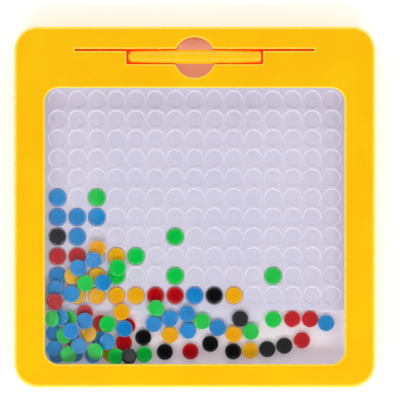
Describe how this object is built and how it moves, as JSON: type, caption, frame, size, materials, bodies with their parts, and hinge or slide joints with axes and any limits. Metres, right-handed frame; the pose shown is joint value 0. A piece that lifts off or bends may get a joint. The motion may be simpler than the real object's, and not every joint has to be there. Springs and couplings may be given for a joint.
{
  "type": "magnetic bead drawing board",
  "caption": "Square drawing board: steel-cored beads under a clear window, a grid of wells, a bead reservoir, a finger hole, a card slot and a magnetic pen that lifts out.",
  "frame": {"origin": "middle of the flat back face", "axes": "+Z out of the front face, +Y from the bead reservoir towards the pen, +X to the right seen from the front"},
  "size_m": [0.25, 0.25, 0.0227],
  "materials": {
    "case_yellow": "glossy moulded yellow plastic",
    "pen_yellow": "glossy moulded yellow plastic",
    "clear_window": "clear glossy plastic sheet",
    "tray_white": "milky white moulded plastic",
    "bead_red": "glossy red moulded plastic",
    "bead_blue": "glossy blue moulded plastic",
    "bead_green": "glossy green moulded plastic",
    "bead_yellow": "glossy orange-yellow moulded plastic",
    "bead_black": "glossy black moulded plastic",
    "steel": "plain bright steel",
    "magnet": "nickel-plated magnet"
  },
  "bodies": {
    "board": {"back_cover": "case_yellow", "bead_tray": "tray_white", "case_screws": "steel", "front_frame": "case_yellow", "loose_bead_cores": "steel", "loose_black_beads": "bead_black", "loose_blue_beads": "bead_blue", "loose_green_beads": "bead_green", "loose_red_beads": "bead_red", "loose_yellow_beads": "bead_yellow", "well_plate": "tray_white", "window_pane": "clear_window"},
    "pen": {"pen_barrel": "pen_yellow", "pen_end_plug": "pen_yellow", "pen_magnet": "magnet", "pen_nose": "pen_yellow"},
    "bead_c1_r8": {"black_bead_c1_r8": "bead_black", "black_bead_core_c1_r8": "steel"},
    "bead_c9_r11": {"black_bead_c9_r11": "bead_black", "black_bead_core_c9_r11": "steel"},
    "bead_c1_r6": {"blue_bead_c1_r6": "bead_blue", "blue_bead_core_c1_r6": "steel"},
    "bead_c1_r7": {"blue_bead_c1_r7": "bead_blue", "blue_bead_core_c1_r7": "steel"},
    "bead_c2_r7": {"blue_bead_c2_r7": "bead_blue", "blue_bead_core_c2_r7": "steel"},
    "bead_c2_r8": {"blue_bead_c2_r8": "bead_blue", "blue_bead_core_c2_r8": "steel"},
    "bead_c3_r7": {"blue_bead_c3_r7": "bead_blue", "blue_bead_core_c3_r7": "steel"},
    "bead_c8_r11": {"blue_bead_c8_r11": "bead_blue", "blue_bead_core_c8_r11": "steel"},
    "bead_c12_r10": {"green_bead_c12_r10": "bead_green", "green_bead_core_c12_r10": "steel"},
    "bead_c3_r6": {"green_bead_c3_r6": "bead_green", "green_bead_core_c3_r6": "steel"},
    "bead_c5_r9": {"green_bead_c5_r9": "bead_green", "green_bead_core_c5_r9": "steel"},
    "bead_c7_r10": {"green_bead_c7_r10": "bead_green", "green_bead_core_c7_r10": "steel"},
    "bead_c7_r8": {"green_bead_c7_r8": "bead_green", "green_bead_core_c7_r8": "steel"},
    "bead_c1_r9": {"red_bead_c1_r9": "bead_red", "red_bead_core_c1_r9": "steel"},
    "bead_c7_r11": {"red_bead_c7_r11": "bead_red", "red_bead_core_c7_r11": "steel"},
    "bead_c10_r11": {"yellow_bead_c10_r11": "bead_yellow", "yellow_bead_core_c10_r11": "steel"},
    "bead_c4_r11": {"yellow_bead_c4_r11": "bead_yellow", "yellow_bead_core_c4_r11": "steel"},
    "bead_c5_r11": {"yellow_bead_c5_r11": "bead_yellow", "yellow_bead_core_c5_r11": "steel"},
    "sliding_green_bead": {"sliding_green_bead": "bead_green", "sliding_green_bead_core": "steel"},
    "sliding_red_bead": {"sliding_red_bead": "bead_red", "sliding_red_bead_core": "steel"},
    "sliding_blue_bead": {"sliding_blue_bead": "bead_blue", "sliding_blue_bead_core": "steel"}
  },
  "joints": [
    {"name": "pen_lift", "type": "slide", "parent": "board", "child": "pen", "axis": [0, 0, 1], "range_m": [0, 0.06]},
    {"name": "lift_c1_r8", "type": "slide", "parent": "board", "child": "bead_c1_r8", "axis": [0, 0, 1], "range_m": [0, 0.0074]},
    {"name": "lift_c9_r11", "type": "slide", "parent": "board", "child": "bead_c9_r11", "axis": [0, 0, 1], "range_m": [0, 0.0074]},
    {"name": "lift_c1_r6", "type": "slide", "parent": "board", "child": "bead_c1_r6", "axis": [0, 0, 1], "range_m": [0, 0.0074]},
    {"name": "lift_c1_r7", "type": "slide", "parent": "board", "child": "bead_c1_r7", "axis": [0, 0, 1], "range_m": [0, 0.0074]},
    {"name": "lift_c2_r7", "type": "slide", "parent": "board", "child": "bead_c2_r7", "axis": [0, 0, 1], "range_m": [0, 0.0074]},
    {"name": "lift_c2_r8", "type": "slide", "parent": "board", "child": "bead_c2_r8", "axis": [0, 0, 1], "range_m": [0, 0.0074]},
    {"name": "lift_c3_r7", "type": "slide", "parent": "board", "child": "bead_c3_r7", "axis": [0, 0, 1], "range_m": [0, 0.0074]},
    {"name": "lift_c8_r11", "type": "slide", "parent": "board", "child": "bead_c8_r11", "axis": [0, 0, 1], "range_m": [0, 0.0074]},
    {"name": "lift_c12_r10", "type": "slide", "parent": "board", "child": "bead_c12_r10", "axis": [0, 0, 1], "range_m": [0, 0.0074]},
    {"name": "lift_c3_r6", "type": "slide", "parent": "board", "child": "bead_c3_r6", "axis": [0, 0, 1], "range_m": [0, 0.0074]},
    {"name": "lift_c5_r9", "type": "slide", "parent": "board", "child": "bead_c5_r9", "axis": [0, 0, 1], "range_m": [0, 0.0074]},
    {"name": "lift_c7_r10", "type": "slide", "parent": "board", "child": "bead_c7_r10", "axis": [0, 0, 1], "range_m": [0, 0.0074]},
    {"name": "lift_c7_r8", "type": "slide", "parent": "board", "child": "bead_c7_r8", "axis": [0, 0, 1], "range_m": [0, 0.0074]},
    {"name": "lift_c1_r9", "type": "slide", "parent": "board", "child": "bead_c1_r9", "axis": [0, 0, 1], "range_m": [0, 0.0074]},
    {"name": "lift_c7_r11", "type": "slide", "parent": "board", "child": "bead_c7_r11", "axis": [0, 0, 1], "range_m": [0, 0.0074]},
    {"name": "lift_c10_r11", "type": "slide", "parent": "board", "child": "bead_c10_r11", "axis": [0, 0, 1], "range_m": [0, 0.0074]},
    {"name": "lift_c4_r11", "type": "slide", "parent": "board", "child": "bead_c4_r11", "axis": [0, 0, 1], "range_m": [0, 0.0074]},
    {"name": "lift_c5_r11", "type": "slide", "parent": "board", "child": "bead_c5_r11", "axis": [0, 0, 1], "range_m": [0, 0.0074]},
    {"name": "slide_green", "type": "slide", "parent": "board", "child": "sliding_green_bead", "axis": [0, -1, 0], "range_m": [0, 0.0088]},
    {"name": "slide_red", "type": "slide", "parent": "board", "child": "sliding_red_bead", "axis": [1, 0, 0], "range_m": [0, 0.0185]},
    {"name": "slide_blue", "type": "slide", "parent": "board", "child": "sliding_blue_bead", "axis": [1, 0, 0], "range_m": [0, 0.007]}
  ]
}
